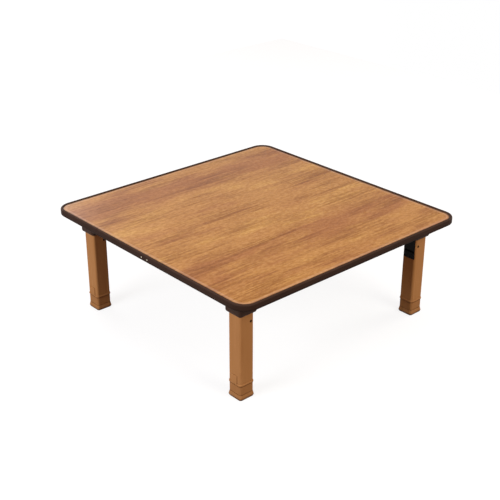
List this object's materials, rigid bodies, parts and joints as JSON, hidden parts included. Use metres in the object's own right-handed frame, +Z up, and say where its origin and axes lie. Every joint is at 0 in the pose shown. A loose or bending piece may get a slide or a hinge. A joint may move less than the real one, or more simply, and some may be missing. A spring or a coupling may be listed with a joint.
{
  "type": "folding dining table",
  "caption": "Low square floor table with a wood-grain top, rounded corners and a dark edge band, on square legs that fold flat under the top.",
  "frame": {"origin": "on the floor, below the middle of the table top", "axes": "+Z up; X left to right, the way the legs fold; Y front to back; legs open at rest"},
  "size_m": [0.8, 0.8, 0.309],
  "materials": {
    "board": "raw fibreboard",
    "wood_grain_top": "satin wood-grain laminate",
    "backing": "matt backing sheet",
    "edge_band": "satin moulded strip",
    "bracket_plastic": "satin moulded plastic",
    "leg_plastic": "satin moulded plastic",
    "black_plastic": "satin moulded plastic",
    "pin_steel": "oiled steel",
    "spring_steel": "tempered strip",
    "screw_steel": "zinc plated",
    "nail_steel": "bright"
  },
  "bodies": {
    "table_top": {"top_core": "board", "top_laminate": "wood_grain_top", "backing_sheet": "backing", "edge_band": "edge_band", "edge_band_nails": "nail_steel", "bracket_screws": "screw_steel", "hinge_block_screws": "screw_steel", "leg_bracket_front_left": "bracket_plastic", "hinge_block_front_left": "black_plastic", "leg_bracket_front_right": "bracket_plastic", "hinge_block_front_right": "black_plastic", "leg_bracket_back_left": "bracket_plastic", "hinge_block_back_left": "black_plastic", "leg_bracket_back_right": "bracket_plastic", "hinge_block_back_right": "black_plastic"},
    "front_left_leg": {"leg_front_left": "leg_plastic", "foot_front_left": "leg_plastic", "hinge_pin_front_left": "pin_steel", "latch_housing_front_left": "black_plastic", "catch_spring_front_left": "spring_steel", "spring_rivet_front_left": "pin_steel"},
    "front_left_button": {"push_button_front_left": "black_plastic"},
    "front_right_leg": {"leg_front_right": "leg_plastic", "foot_front_right": "leg_plastic", "hinge_pin_front_right": "pin_steel", "latch_housing_front_right": "black_plastic", "catch_spring_front_right": "spring_steel", "spring_rivet_front_right": "pin_steel"},
    "front_right_button": {"push_button_front_right": "black_plastic"},
    "back_left_leg": {"leg_back_left": "leg_plastic", "foot_back_left": "leg_plastic", "hinge_pin_back_left": "pin_steel", "latch_housing_back_left": "black_plastic", "catch_spring_back_left": "spring_steel", "spring_rivet_back_left": "pin_steel"},
    "back_left_button": {"push_button_back_left": "black_plastic"},
    "back_right_leg": {"leg_back_right": "leg_plastic", "foot_back_right": "leg_plastic", "hinge_pin_back_right": "pin_steel", "latch_housing_back_right": "black_plastic", "catch_spring_back_right": "spring_steel", "spring_rivet_back_right": "pin_steel"},
    "back_right_button": {"push_button_back_right": "black_plastic"}
  },
  "joints": [
    {"name": "fold_front_left", "type": "hinge", "parent": "table_top", "child": "front_left_leg", "pos_m": [-0.3147, -0.3115, 0.2175], "axis": [0, -1, 0], "range_deg": [0, 90], "deforming": ["catch_spring_front_left"]},
    {"name": "press_front_left", "type": "slide", "parent": "front_left_leg", "child": "front_left_button", "axis": [-1, 0, 0], "range_m": [0, 0.003], "stiffness_N_per_m": 900, "springref_m": -0.002, "deforming": ["catch_spring_front_left"]},
    {"name": "fold_front_right", "type": "hinge", "parent": "table_top", "child": "front_right_leg", "pos_m": [0.3147, -0.3115, 0.2175], "axis": [0, 1, 0], "range_deg": [0, 90], "deforming": ["catch_spring_front_right"]},
    {"name": "press_front_right", "type": "slide", "parent": "front_right_leg", "child": "front_right_button", "axis": [1, 0, 0], "range_m": [0, 0.003], "stiffness_N_per_m": 900, "springref_m": -0.002, "deforming": ["catch_spring_front_right"]},
    {"name": "fold_back_left", "type": "hinge", "parent": "table_top", "child": "back_left_leg", "pos_m": [-0.3147, 0.3115, 0.2175], "axis": [0, -1, 0], "range_deg": [0, 90], "deforming": ["catch_spring_back_left"]},
    {"name": "press_back_left", "type": "slide", "parent": "back_left_leg", "child": "back_left_button", "axis": [-1, 0, 0], "range_m": [0, 0.003], "stiffness_N_per_m": 900, "springref_m": -0.002, "deforming": ["catch_spring_back_left"]},
    {"name": "fold_back_right", "type": "hinge", "parent": "table_top", "child": "back_right_leg", "pos_m": [0.3147, 0.3115, 0.2175], "axis": [0, 1, 0], "range_deg": [0, 90], "deforming": ["catch_spring_back_right"]},
    {"name": "press_back_right", "type": "slide", "parent": "back_right_leg", "child": "back_right_button", "axis": [1, 0, 0], "range_m": [0, 0.003], "stiffness_N_per_m": 900, "springref_m": -0.002, "deforming": ["catch_spring_back_right"]}
  ]
}
